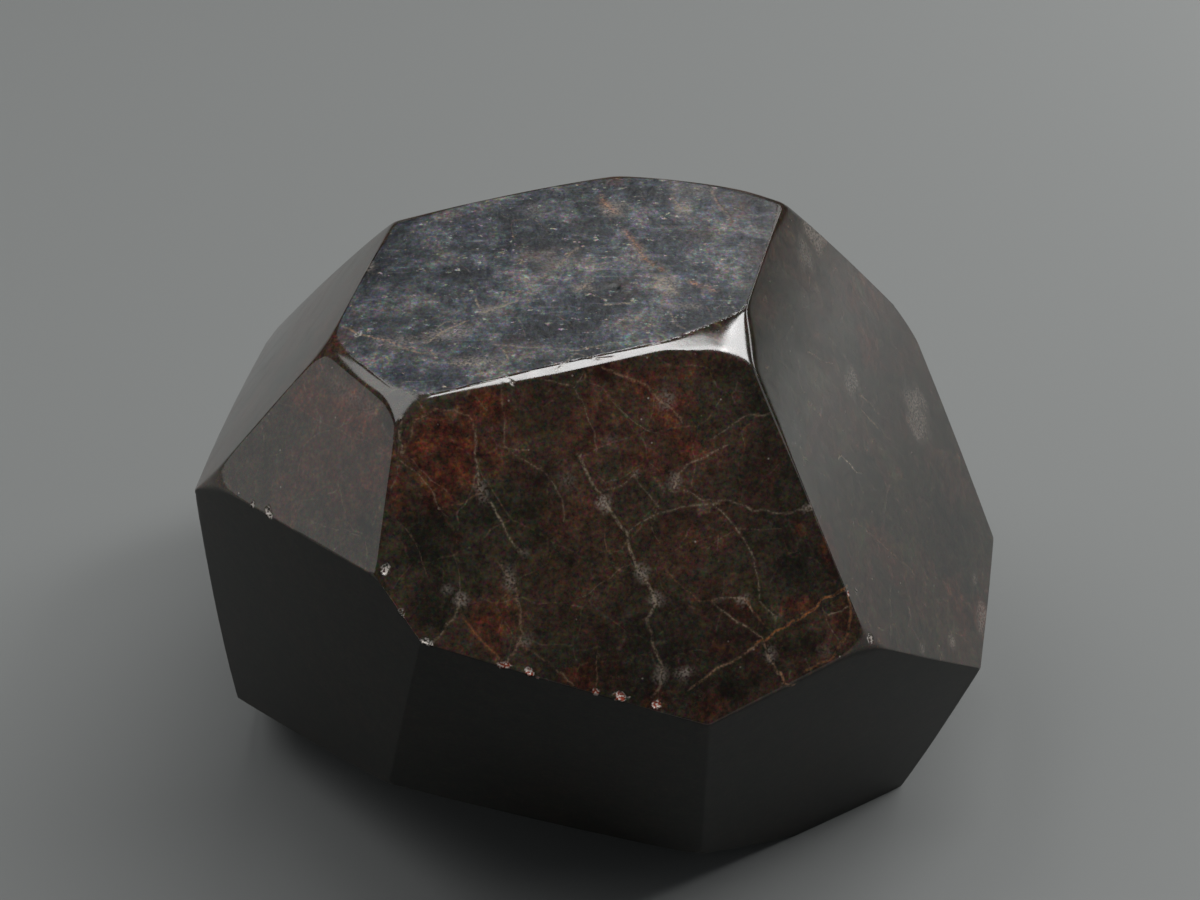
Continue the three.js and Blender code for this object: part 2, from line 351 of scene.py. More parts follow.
MILKY_PATCHES = {
    "front_shoulder": [
        (-0.9, 2.2, 0.42, 0.56, 1.0), (0.6, -2.4, 0.35, 0.56, 0.7), (1.2, -4.0, 0.42, 0.42, 0.7),
        (-10.1, -1.8, 0.35, 0.42, 0.8), (-7.1, -1.1, 0.35, 0.91, 0.5), (-6.9, -4.9, 0.63, 0.49, 0.5),
        (11.3, -0.5, 0.42, 0.28, 0.7), (2.3, -8.7, 0.63, 0.35, 0.9), (7.6, -8.7, 0.28, 0.56, 0.6),
        (3.6, 2.6, 0.42, 0.49, 0.6), (-7.8, 4.2, 0.35, 0.63, 0.5), (3.9, 7.5, 0.49, 0.56, 0.5),
        (6.4, -5.1, 0.49, 0.28, 0.7), (-2.8, 3.8, 0.56, 0.63, 0.3), (11.0, -9.2, 0.63, 0.35, 0.5),
        (1.3, 3.5, 0.21, 0.21, 0.7), (0.7, -8.5, 0.28, 0.56, 0.5), (-6.0, 0.2, 0.42, 0.21, 0.4),
        (-10.9, -1.0, 0.21, 0.14, 0.6), (0.0, 5.6, 0.49, 0.42, 0.25),
    ],
    "top_table": [
        (6.4, -1.6, 0.8, 1.1, 0.7), (-6.4, -6.2, 1.3, 0.7, 0.6), (-5.0, -8.9, 1.6, 0.7, 0.7),
        (8.6, 9.0, 1.4, 0.9, 0.35), (3.2, 7.0, 0.8, 1.2, 0.5), (7.6, 6.8, 0.8, 1.4, 0.4),
        (1.4, -1.9, 0.8, 0.5, 0.6), (7.4, -3.8, 1.2, 0.4, 0.5), (-9.8, -6.8, 1.4, 0.7, 0.4),
        (-4.4, -4.0, 0.7, 0.5, 0.6), (-0.6, 1.0, 1.8, 1.2, 0.3), (-2.0, 7.0, 0.5, 1.0, 0.3),
        (-11.9, 0.9, 0.3, 0.6, 0.7),
    ],
    "right_shoulder": [
        (7.4, -2.7, 2.2, 1.8, 0.5), (8.2, 12.6, 1.4, 1.4, 0.6), (5.2, 12.6, 1.6, 1.0, 0.3),
        (1.6, 4.8, 1.2, 0.8, 0.35), (-0.2, -15.4, 1.6, 0.7, 0.5), (-5.6, -12.4, 0.7, 0.5, 0.6),
        (2.0, -13.6, 0.8, 0.4, 0.4), (-9.6, -9.3, 0.5, 0.4, 0.5),
    ],
    "front_left_shoulder": [(0.0, 4.6, 3.5, 0.8, 0.2)],
}

# Each chip: its middle, radius and depth, how bright its painted glint is, and how red its painted glow is.
CHIPS = {
    "front_left_shoulder": [
        (-1.9, -4.7, 0.75, 0.24, 1.0, 0.0), (-3.6, -4.9, 0.3, 0.08, 0.8, 0.0),
    ],
    "front_shoulder": [
        (-14.1, 0.8, 0.45, 0.16, 1.0, 0.0), (-12.3, -4.0, 0.5, 0.16, 1.0, 0.0),
        (-11.7, -4.3, 0.35, 0.10, 0.9, 0.0), (-13.7, -1.9, 0.3, 0.08, 0.7, 0.0),
        (-13.3, -2.9, 0.3, 0.08, 0.6, 0.0), (-8.4, -6.0, 0.5, 0.14, 0.7, 1.0),
        (-7.0, -6.8, 0.55, 0.18, 1.0, 1.0), (-6.5, -7.3, 0.4, 0.12, 0.8, 1.0),
        (-1.8, -9.3, 0.55, 0.16, 1.0, 1.0), (0.2, -10.1, 0.45, 0.14, 1.0, 1.0),
        (-5.0, 9.9, 0.40, 0.05, 1.0, 0.0), (-3.2, -8.7, 0.35, 0.08, 0.6, 1.0),
        (12.9, -3.1, 0.3, 0.08, 0.8, 0.0), (13.3, -6.0, 0.3, 0.08, 0.7, 1.0),
    ],
    "right_shoulder": [
        (-14.3, -3.9, 0.55, 0.16, 1.0, 0.0), (-12.7, -1.2, 0.25, 0.05, 0.8, 0.0),
    ],
    "top_table": [
        (3.3, -1.8, 0.42, 0.16, 0.0, 0.0), (6.0, -0.1, 0.32, 0.12, 0.0, 0.0),
        (-11.9, -6.0, 0.35, 0.10, 0.5, 0.0),
    ],
}
chips = []
for name, listed in CHIPS.items():
    facet = named[name]
    for right_by, up_by, *about in listed:
        chips.append((facet["middle"] + facet["right"] * right_by + facet["up"] * up_by, *about))
chip_middles = np.array([middle for middle, *_ in chips])


# Mesh. Each facet is filled with small triangles, in rows that close up towards its edges, so that the
# worn edges turn smoothly. All of them are then drawn onto one surface with rounded edges.

EDGE_STEP = 0.34
CHIPPED_STEP = 0.12
# The rows beside each edge, and the rows beside each fracture.
INSETS = (0.05, 0.11, 0.19, 0.30, 0.46, 0.72)
THREAD_ROWS = (0, -0.05, 0.05, -0.13, 0.13)
THREAD_STEP = 0.16
# How far apart the points are on facets that show fractures, on the others, at chips and at ground corners.
FINE_GRID = 0.46
COARSE_GRID = 0.8
CHIP_GRID = 0.10
CORNER_GRID = 0.16
# How far the close points round a chip reach, and the box they are picked from, in the chip's radii.
CHIP_PATCH = 1.15
CHIP_BOX = 1.2
# Points that are nearer than this are thinned out: row to row, close point to close point, row to close
# point, grid to close point, and close point to the facet's edge.
ROW_GAP = 0.03
CLOSE_GAP = 0.06
ROW_TO_CLOSE = 0.05
GRID_TO_CLOSE = 0.2
CLOSE_TO_EDGE = 0.045

# Where a corner was ground off, a facet has more points: facet, middle and radius in millimetres.
GROUND_CORNERS = [
    ("front_shoulder", 8.4, 9.4, 3.0),
    ("front_shoulder", -11.4, 9.2, 1.8),
    ("top_table", 10.2, -5.3, 3.0),
    ("top_table", -8.3, -11.6, 1.8),
    ("right_shoulder", -7.6, 14.6, 2.4),
    ("front_left_shoulder", 4.2, 5.2, 1.6),
]

# An edge is chipped when a chip's middle is this near to it. Edges no longer than this stay as they are.
CHIP_REACH = 0.6
SHORT_EDGE = 1.5

points = list(corners)
edge_points = {}


def points_along(a, b):
    """The shared points of an edge, from corner a to corner b. A chipped edge has more of them."""
    key = (min(a, b), max(a, b))
    if key not in edge_points:
        start, end = corners[key[0]], corners[key[1]]
        length = np.linalg.norm(end - start)
        along = np.clip((chip_middles - start) @ (end - start) / length**2, 0, 1)
        near = np.linalg.norm(chip_middles - start - along[:, None] * (end - start), axis=1)
        chipped = (near < CHIP_REACH).any() and length > SHORT_EDGE
        count = max(1, math.ceil(length / (CHIPPED_STEP if chipped else EDGE_STEP)))
        inner = []
        for step in range(1, count):
            inner.append(len(points))
            points.append(start + (end - start) * step / count)
        edge_points[key] = inner
    inner = edge_points[key]
    return inner if a == key[0] else inner[::-1]


def wander(path, seed):
    """A fracture's path with points close together and the small waves of a natural break."""
    path = np.array(path, float)
    lengths = np.linalg.norm(np.diff(path, axis=0), axis=1)
    travelled = np.concatenate([[0], np.cumsum(lengths)])
    count = max(2, math.ceil(travelled[-1] / THREAD_STEP) + 1)
    places = np.linspace(0, travelled[-1], count)
    smooth = np.stack([np.interp(places, travelled, path[:, axis]) for axis in (0, 1)], axis=1)
    ways = np.gradient(smooth, axis=0)
    ways /= np.linalg.norm(ways, axis=1)[:, None] + 1e-9
    sides = np.stack([-ways[:, 1], ways[:, 0]], axis=1)
    spots = np.stack([places, np.zeros(count), np.zeros(count)], axis=1)
    sway = 0.10 * waves(spots, seed, 1.6, 12) + 0.05 * waves(spots, seed + 500, 0.6, 12)
    return smooth + sides * sway[:, None], sides


def threads_of(facet):
    """Every fracture path of a facet, with its strength, warmth and half width."""
    listed = FRACTURES.get(facet["name"], [])
    made = []
    for number, (strength, warmth, half_width, path) in enumerate(listed):
        line, sides = wander(path, 31 * number + len(facet["name"]))
        made.append((strength, warmth, half_width, line, sides))
    return made


def depths(flat_points, flat_outline):
    """How far each point is inside each side of an outline."""
    after = np.roll(flat_outline, -1, axis=0)
    ways = after - flat_outline
    ways /= np.linalg.norm(ways, axis=1)[:, None]
    inward = np.stack([-ways[:, 1], ways[:, 0]], axis=1)
    return flat_points @ inward.T - (flat_outline * inward).sum(1)


def hex_grid(low, high, step):
    """Points over a box, in rows that are half a step out of line with each other."""
    rows = np.arange(low[1], high[1], step * math.sqrt(3) / 2)
    columns = np.arange(low[0], high[0], step)
    across, upward = np.meshgrid(columns, rows)
    across = across + np.where(np.arange(len(rows)) % 2, step / 2, 0)[:, None]
    return np.stack([across.ravel(), upward.ravel()], axis=1)


def thinned(keepers, others, gap):
    """Those of the other points that are at least gap from every keeper."""
    if not len(keepers) or not len(others):
        return others
    tree = KDTree(len(keepers))
    for number, (x, y) in enumerate(keepers):
        tree.insert((x, y, 0), number)
    tree.balance()
    return others[[tree.find((x, y, 0))[2] >= gap for x, y in others]]


def spread(candidates, gap):
    """The points with near-doubles removed: one is kept in each small square."""
    if not len(candidates):
        return candidates
    cells = np.round(candidates / gap).astype(int)
    first = np.unique(cells, axis=0, return_index=True)[1]
    return candidates[np.sort(first)]


faces = []
for facet in facets:
    flat = facet["flat"]
    loop = facet["loop"]
    border = []
    rows = []
    for place, corner in enumerate(loop):
        following = loop[(place + 1) % len(loop)]
        border.append(corner)
        along = points_along(corner, following)
        border.extend(along)
        # Rows beside this edge, each with a point beside every point of the edge.
        here, there = flat[place], flat[(place + 1) % len(loop)]
        way = (there - here) / np.linalg.norm(there - here)
        inward = np.array([-way[1], way[0]])
        shares = np.linspace(0, 1, len(along) + 2)[:, None]
        for inset in INSETS:
            row = here + (there - here) * shares + inward * inset
            # The row keeps its own distance from this edge, and as good as that from the others.
            deep = np.delete(depths(row, flat), place, axis=1)
            rows.append(row[(deep > inset * 0.85).all(1)])
    rows = spread(np.concatenate(rows), ROW_GAP)

    step = FINE_GRID if facet["name"] in FRACTURES else COARSE_GRID
    # The grid fills the middle, a little inside the innermost row.
    grid = hex_grid(flat.min(0), flat.max(0), step)
    grid = grid[(depths(grid, flat) > INSETS[-1] + 0.25 * step).all(1)]

    # Closer points along fractures, round chips and at ground corners.
    close = []
    for _, _, _, line, sides in threads_of(facet):
        for offset in THREAD_ROWS:
            close.append(line + sides * offset)
    for middle, radius, *_ in chips:
        away = (middle - facet["middle"]) @ facet["normal"]
        if abs(away) < radius:
            spot = np.array([(middle - facet["middle"]) @ facet[way] for way in ("right", "up")])
            patch = hex_grid(spot - radius * CHIP_BOX, spot + radius * CHIP_BOX, CHIP_GRID)
            close.append(patch[np.linalg.norm(patch - spot, axis=1) < radius * CHIP_PATCH])
    for name, right_by, up_by, radius in GROUND_CORNERS:
        if name == facet["name"]:
            spot = np.array([right_by, up_by])
            patch = hex_grid(spot - radius, spot + radius, CORNER_GRID)
            close.append(patch[np.linalg.norm(patch - spot, axis=1) < radius])
    if close:
        close = spread(np.concatenate(close), CLOSE_GAP)
        close = close[(depths(close, flat) > CLOSE_TO_EDGE).all(1)]
        rows = thinned(close, rows, ROW_TO_CLOSE)
        grid = thinned(close, grid, GRID_TO_CLOSE)
        filling = np.concatenate([close, rows, grid])
    else:
        filling = np.concatenate([rows, grid])

    # All of them are joined up into triangles inside the facet's border.
    first = len(points)
    points.extend(facet["middle"] + filling[:, :1] * facet["right"] + filling[:, 1:] * facet["up"])
    border_points = np.array([points[index] for index in border]) - facet["middle"]
    border_flat = np.stack([border_points @ facet["right"], border_points @ facet["up"]], axis=1)
    wanted = [Vector(p) for p in border_flat] + [Vector(p) for p in filling]
    ids = border + list(range(first, first + len(filling)))
    _, _, cells, originals, _, _ = delaunay_2d_cdt(wanted, [], [list(range(len(border)))], 1, 1e-7)
    names = [ids[original[0]] for original in originals]
    faces.extend([tuple(names[index] for index in cell) for cell in cells])

points = np.array(points)

# The sharpness of an edge: the distance, in millimetres, over which two facets run together, by what
# share it changes along the edges, about how many millimetres apart, and the least it can be.
EDGE_WEAR = 0.018
WEAR_CHANGE = 0.3
WEAR_CHANGES_OVER = 4.0
LEAST_WEAR = 0.01
# Corners that were blunted by hand: place, how far the wear spreads, and how much more it is there.
BLUNTED = [
    ((7.3, -11.9, 42.3), 2.2, 0.10),
    ((-12.2, -18.3, 41.8), 2.2, 0.10),
    ((-17.0, -12.6, 41.8), 2.0, 0.08),
    ((15.3, -21.7, 26.1), 1.8, 0.10),
    ((-25.0, -13.5, 32.0), 2.0, 0.06),
    ((11.0, -24.4, 24.8), 5.0, 0.07),
    ((9.3, -14.3, 38.2), 3.4, 0.045),
]
# The table's corners at the back are blunter still.
for corner in corners[named["top_table"]["loop"]]:
    if corner[1] > 0:
        BLUNTED.append((corner, 3.0, 0.09))

# Edges and corners that were ground off flat: the facets that met there, how far the cut leans towards
# each of them, and how deep it goes below the edge or corner, in millimetres.
CUTS = [
    (("top_table", "front_shoulder"), (1.0, 1.0), 0.115),
    (("top_table", "front_shoulder", "right_shoulder"), (1.0, 0.95, 0.30), 0.62),
    (("top_table", "front_shoulder", "right_shoulder"), (0.8, 1.0, 0.85), 0.66),
    (("top_table", "front_shoulder", "front_left_shoulder"), (1.0, 0.8, 0.5), 0.42),
]
normals = [facet["normal"] for facet in facets]
reaches = [facet["reach"] for facet in facets]
for names, leans, depth in CUTS:
    meeting = [named[name] for name in names]
    corner = np.linalg.lstsq([f["normal"] for f in meeting], [f["reach"] for f in meeting], rcond=None)[0]
    cut = unit(sum(lean * f["normal"] for lean, f in zip(leans, meeting)))
    normals.append(cut)
    reaches.append(cut @ corner - depth)
normals, reaches = np.array(normals), np.array(reaches)


def bulge(facet, where):
    """How far a crowned facet has fallen away from its flat plane at each point."""
    total = np.zeros(len(where))
    for way, limit, crown in zip(facet["ways"], facet["reach_of_ways"], facet["crowns"]):
        away = np.clip(np.abs((where - facet["middle"]) @ way), 0, limit)
        total += away**2 / (2 * crown)
    return total


def drawn_in(where, wear):
    """How far points stand outside the rounded stone, and the way out from it."""
    outside = where @ normals.T - reaches
    for number, facet in enumerate(facets):
        outside[:, number] += bulge(facet, where) - facet["rise"]
    most = outside.max(1)
    shares = np.exp((outside - most[:, None]) / wear[:, None])
    total = shares.sum(1)
    away = most + wear * np.log(total)
    out = (shares / total[:, None]) @ normals
    return away, out / np.linalg.norm(out, axis=1)[:, None]


# The middle of a facet rises by most of what its corners fall, so that the edges stay near their place.
RISE_SHARE = 0.7
for facet in facets:
    facet["rise"] = bulge(facet, corners[facet["loop"]]).mean() * RISE_SHARE
wear = EDGE_WEAR * (1 + WEAR_CHANGE * waves(points, 3, WEAR_CHANGES_OVER))
for blunt_middle, spread_by, extra in BLUNTED:
    away = np.linalg.norm(points - np.array(blunt_middle), axis=1)
    wear = wear + extra * np.exp(-((away / spread_by) ** 2))
wear = np.maximum(wear, LEAST_WEAR)
# Each step draws the points nearer to the rounded stone, and after a few they lie on it.
DRAWING_STEPS = 6
for _ in range(DRAWING_STEPS):
    away, out = drawn_in(points, wear)
    points = points - out * away[:, None]
_, out = drawn_in(points, wear)

# What each point carries: fractures and how warm they are, coloured patches, and chips.
thread = np.zeros(len(points))
thread_warmth_and_glow = np.zeros(len(points))
red = np.zeros(len(points))
black_and_shade = np.zeros(len(points))
milky = np.zeros(len(points))
chip_glint = np.zeros(len(points))
# A patch is whole near its middle, fades this steeply, and ends at this many half widths. Its outline is
# ragged. A patch and a fracture mark only points that are this near to their own facet, in millimetres.
PATCH_FADE = 1.6
PATCH_END = 1.15
PATCH_REACH = 0.9
THREAD_REACH = 0.6
# A fracture is whole within the first share of its half width, and ends at the second.
THREAD_WHOLE, THREAD_ENDS = 0.155, 0.775
ragged = rough(points, 11, [(0.22, 0.9), (0.16, 2.4)])


def paint(facet, spots):
    """How strongly a facet's patches show at every point, with ragged edges."""
    offsets = points - facet["middle"]
    across, upward, away = offsets @ facet["right"], offsets @ facet["up"], offsets @ facet["normal"]
    shown = np.zeros(len(points))
    for right_by, up_by, half_width, half_height, strength in spots:
        far = np.hypot((across - right_by) / half_width, (upward - up_by) / half_height) + ragged
        shown = np.maximum(shown, strength * np.clip(PATCH_FADE * (PATCH_END - far), 0, 1))
    return shown * (np.abs(away) < PATCH_REACH)


for name, facet in named.items():
    red = np.maximum(red, paint(facet, RED_PATCHES.get(name, [])))
    black_and_shade = np.maximum(black_and_shade, paint(facet, BLACK_PATCHES.get(name, [])))
    milky = np.maximum(milky, paint(facet, MILKY_PATCHES.get(name, [])))
    offsets = points - facet["middle"]
    near_facet = np.nonzero(np.abs(offsets @ facet["normal"]) < THREAD_REACH)[0]
    spots = np.stack([offsets[near_facet] @ facet["right"], offsets[near_facet] @ facet["up"]], axis=1)
    for strength, warmth, half_width, line, _ in threads_of(facet):
        low, high = line.min(0) - THREAD_REACH, line.max(0) + THREAD_REACH
        inside = ((spots > low) & (spots < high)).all(1)
        local = spots[inside]
        steps = np.diff(line, axis=0)
        share = ((local[:, None] - line[None, :-1]) * steps).sum(2) / (steps**2).sum(1)
        share = np.clip(share, 0, 1)
        nearest = line[None, :-1] + steps * share[:, :, None]
        gap = np.linalg.norm(local[:, None] - nearest, axis=2).min(1)
        shown = strength * (1 - ramp(gap / half_width, THREAD_WHOLE, THREAD_ENDS))
        ids = near_facet[inside]
        better = shown > thread[ids]
        thread[ids[better]] = shown[better]
        thread_warmth_and_glow[ids[better]] = warmth
# The walls get painted shade: their colour is made blacker than the shoulders', because little light
# gets in below them. A place belongs to them when its way out rises less than this, wholly or in part.
WALL_WHOLLY, WALL_IN_PART = -0.104, 0.3125
wall = 1 - ramp(out[:, 2], WALL_WHOLLY, WALL_IN_PART)
black_and_shade = np.maximum(black_and_shade, wall)
# The table's duller polish ends just below its plane, and where the edge turns away from it.
TABLE_ENDS, TABLE_WHOLE = -0.22, -0.10
TURNS_AWAY, TURNS_WITH_IT = 0.972, 0.994
top = named["top_table"]
table = ramp((points - top["middle"]) @ top["normal"], TABLE_ENDS, TABLE_WHOLE)
table *= ramp(out @ top["normal"], TURNS_AWAY, TURNS_WITH_IT)

# The surface itself: faint waves left by hand polishing, a rougher table, sunk fractures and chips. Sizes
# are in millimetres. Dark fractures, whose warmth is below 0, are open and deeper than the healed ones. The
# waves of a chip's edge widen and deepen it, so its bowl starts out smaller than the chip.
POLISHING_WAVES = [(0.006, 7.0), (0.0015, 1.6)]
TABLE_WAVES = [(0.020, 2.6), (0.008, 0.9)]
CHIP_WAVES = [(0.45, 0.5), (0.2, 0.22)]
CHIP_WIDTH_SHARE = 0.62
CHIP_DEPTH_SHARE = 0.75
HEALED_DEPTH = 0.012
OPEN_DEPTH = 0.05
RESTING_BAND = 0.02
height = rough(points, 21, POLISHING_WAVES) + table * rough(points, 23, TABLE_WAVES)
height -= np.where(thread_warmth_and_glow < 0, OPEN_DEPTH, HEALED_DEPTH) * thread
chip_edge = rough(points, 25, CHIP_WAVES)
for middle, radius, depth, painted_glint, painted_glow in chips:
    # A ragged bowl, filled almost to the rim by its painted glint; a chip without one gets painted shade.
    far = np.linalg.norm(points - middle, axis=1) / (CHIP_WIDTH_SHARE * radius) + chip_edge
    bowl = np.clip(1 - far**2, 0, 1)
    height -= CHIP_DEPTH_SHARE * depth * bowl
    chip_glint = np.maximum(chip_glint, painted_glint * np.clip(bowl * 3, 0, 1))
    black_and_shade = np.maximum(black_and_shade, (painted_glint == 0) * np.clip(bowl * 2, 0, 1))
    # A glowing chip's painted red glow is carried along as warmth.
    thread_warmth_and_glow = np.where(bowl > 0.1, painted_glow, thread_warmth_and_glow)
# The resting face stays flat on the floor.
height[points[:, 2] < RESTING_BAND] = 0
points = points + out * height[:, None]
points[:, 2] = np.maximum(points[:, 2], 0)

stone_mesh = bpy.data.meshes.new("garnet_stone")
stone_mesh.from_pydata((points * MM).tolist(), [], faces)
stone_mesh.validate()
stone_mesh.shade_smooth()
marks = stone_mesh.attributes.new("marks", "FLOAT_COLOR", "POINT")
marks.data.foreach_set("color", np.stack([thread, red, black_and_shade, milky], 1).astype(np.float32).ravel())
# This carries the table, each chip's painted glint, the threads' warmth with the chips' painted glow, and
# the walls, which get painted shade.
finish_and_painted_light = stone_mesh.attributes.new("finish_and_painted_light", "FLOAT_COLOR", "POINT")
warmth_and_glow = np.clip(thread_warmth_and_glow, -1, 1) * 0.5 + 0.5
finish_and_painted_light.data.foreach_set("color", np.stack([table, chip_glint, warmth_and_glow, wall], 1).astype(np.float32).ravel())
stone = bpy.data.objects.new("garnet_stone", stone_mesh)
bpy.context.scene.collection.objects.link(stone)

# Finish. Garnet, ground and polished by hand: a hard glassy shine over a nearly opaque dark body. The eye
# sees clear reflections with soft edges, and below them dim red-brown and olive blocks.


def linear(hex_colour):
    """An sRGB colour such as "2c1411" as the linear colour that the shaders work in."""
    parts = [int(hex_colour[start:start + 2], 16) / 255 for start in (0, 2, 4)]
    return [p / 12.92 if p <= 0.04045 else ((p + 0.055) / 1.055) ** 2.4 for p in parts] + [1]


def add_node(kind, inputs, stops=(), output=0, **settings):
    """Adds a node and gives back one of its outputs. An input takes a value or another node's output. A
    ramp's stops are place and colour."""
    node = tree.nodes.new(kind)
    for setting, value in settings.items():
        setattr(node, setting, value)
    for socket, value in inputs.items():
        if isinstance(value, bpy.types.NodeSocket):
            tree.links.new(value, node.inputs[socket])
        else:
            node.inputs[socket].default_value = value
    for _ in stops[2:]:
        node.color_ramp.elements.new(1)
    for number, (at, colour) in enumerate(stops):
        node.color_ramp.elements[number].position = at
        node.color_ramp.elements[number].color = linear(colour)
    return node.outputs[output] if node.outputs else None


garnet = bpy.data.materials.new("polished_garnet")
garnet.use_nodes = True
tree = garnet.node_tree
tree.nodes.clear()

marks_colour = add_node("ShaderNodeAttribute", {}, attribute_name="marks")
thread_mark, red_mark, black_and_shade_mark = add_node("ShaderNodeSeparateColor", {0: marks_colour}).node.outputs
milky_mark = marks_colour.node.outputs["Alpha"]
finish_and_painted_light_colour = add_node("ShaderNodeAttribute", {}, attribute_name="finish_and_painted_light")
table_mark, chip_glint_mark, warmth_and_glow_mark = add_node("ShaderNodeSeparateColor", {0: finish_and_painted_light_colour}).node.outputs
wall_mark = finish_and_painted_light_colour.node.outputs["Alpha"]

# The patterns below are worked out in millimetres: a scale of 2 gives spots about half a millimetre across.
# A map range takes 0 the value, 1 and 2 the range it comes from, and 3 and 4 the range it goes to.
# A mix of colours takes 0 the share of the second, and 6 and 7 the two colours.
in_metres = add_node("ShaderNodeTexCoord", {}, output="Object")
in_mm = add_node("ShaderNodeVectorMath", {0: in_metres, "Scale": 1 / MM}, operation="SCALE")
NOISES = {
    "clouds": {"Scale": 0.30, "Detail": 8.0, "Roughness": 0.62},
    "mottle": {"Scale": 1.1, "Detail": 6.0, "Roughness": 0.7},
    "grain": {"Scale": 3.4, "Detail": 2.0},
    "dust": {"Scale": 7.0, "Detail": 2.0},
    "sway": {"Scale": 0.35, "Detail": 3.0},
    "bend": {"Scale": 0.5, "Detail": 1.0},
    "fine_grain": {"Scale": 5.0, "Detail": 3.0, "Roughness": 0.8},
    "table_clouds": {"Scale": 0.24, "Detail": 9.0, "Roughness": 0.72, "Distortion": 0.3},
    "table_grain": {"Scale": 1.5, "Detail": 8.0, "Roughness": 0.78},
    "smear": {"Scale": 0.5, "Detail": 5.0},
    "skin": {"Scale": 1.8, "Detail": 6.0, "Roughness": 0.6},
}
noises = {name: add_node("ShaderNodeTexNoise", {"Vector": in_mm, **NOISES[name]}) for name in NOISES}
coloured = {name: noise.node.outputs["Color"] for name, noise in noises.items()}
mottle = noises["mottle"]
dust = noises["dust"]

# Growth blocks, 5 to 7 mm across, with wavy sides. They run from olive to red-brown.
sway_by = add_node("ShaderNodeVectorMath", {0: coloured["sway"], "Scale": 3.4}, operation="SCALE")
swayed = add_node("ShaderNodeVectorMath", {0: in_mm, 1: sway_by}, operation="ADD")
blocks = add_node("ShaderNodeTexVoronoi", {"Vector": swayed, "Scale": 0.18}, output="Color")
block_tone = add_node("ShaderNodeSeparateColor", {0: blocks})
cloud_tone = add_node("ShaderNodeMath", {0: noises["clouds"], 1: 0.9}, operation="MULTIPLY")
body_tone = add_node("ShaderNodeMath", {0: block_tone, 1: 0.35, 2: cloud_tone}, operation="MULTIPLY_ADD")
body = add_node("ShaderNodeValToRGB", {0: body_tone}, stops=[
    (0.28, "2e2b20"), (0.45, "423a2d"), (0.60, "4b3f32"), (0.74, "553d31"), (0.9, "524b36"),
])

# Red patches, from brown to orange, with clouds over them.
red_tone = add_node("ShaderNodeValToRGB", {0: mottle}, stops=[
    (0.32, "45251c"), (0.5, "633425"), (0.62, "7a442c"), (0.75, "8e633c"),
])
red_clouds = add_node("ShaderNodeMapRange", {0: noises["clouds"], 1: 0.3, 2: 0.55, 3: 0.45, 4: 1.0})
red_share = add_node("ShaderNodeMath", {0: red_mark, 1: red_clouds}, operation="MULTIPLY")
body = add_node("ShaderNodeMix", {0: red_share, 6: body, 7: red_tone}, data_type="RGBA", output=2)

# Black patches, where little light comes back out of the stone, with the painted shade of the walls and
# pits.
black_and_shade_share = add_node("ShaderNodeMath", {0: black_and_shade_mark, 1: 0.92}, operation="MULTIPLY")
body = add_node("ShaderNodeMix", {0: black_and_shade_share, 6: body, 7: linear("12130d")}, data_type="RGBA", output=2)

# The table was ground but hardly polished: blue-grey, with dark and tan clouds 3 to 4 mm across.
table_body = add_node("ShaderNodeValToRGB", {0: noises["table_clouds"]}, stops=[
    (0.36, "1a1c22"), (0.45, "333941"), (0.53, "565b61"), (0.61, "7d7977"), (0.72, "a59a8e"),
])
table_grain = noises["table_grain"]
table_shade = add_node("ShaderNodeMapRange", {0: table_grain, 1: 0.34, 2: 0.66, 3: 0.25, 4: 1.75})
table_body = add_node("ShaderNodeMix", {
    0: 1.0, 6: table_body, 7: table_shade,
}, data_type="RGBA", blend_type="MULTIPLY", output=2)
# Pale flecks under a millimetre long lie along the way it was ground, with fine scratches between them.
along_grinding = add_node("ShaderNodeMapping", {
    "Vector": in_mm, "Rotation": (0, 0, 0.4), "Scale": (1.0, 1.7, 1),
})
flecks = add_node("ShaderNodeTexNoise", {
    "Vector": along_grinding, "Scale": 1.4, "Detail": 6.0, "Roughness": 0.7,
})
fleck_share = add_node("ShaderNodeMapRange", {0: flecks, 1: 0.605, 2: 0.66, 3: 0.0, 4: 0.9})
drawn_out = add_node("ShaderNodeMapping", {
    "Vector": in_mm, "Rotation": (0, 0, 0.55), "Scale": (0.22, 5.0, 1),
})
scratches = add_node("ShaderNodeTexNoise", {"Vector": drawn_out, "Scale": 1.0, "Detail": 3.0})
scratch_share = add_node("ShaderNodeMapRange", {0: scratches, 1: 0.60, 2: 0.72, 3: 0.0, 4: 0.22})
# Rust-red patches, and black patches with the pits' painted shade, go over the table too.
rust_share = add_node("ShaderNodeMath", {0: red_share, 1: 0.75}, operation="MULTIPLY")
table_black_and_shade = add_node("ShaderNodeMath", {0: black_and_shade_mark, 1: 0.85}, operation="MULTIPLY")
for share, colour in [
    (fleck_share, "c3bcb2"), (scratch_share, "a9adb0"), (rust_share, "6d5750"), (table_black_and_shade, "15191a"),
]:
    table_body = add_node("ShaderNodeMix", {
        0: share, 6: table_body, 7: linear(colour),
    }, data_type="RGBA", output=2)
body = add_node("ShaderNodeMix", {0: table_mark, 6: body, 7: table_body}, data_type="RGBA", output=2)

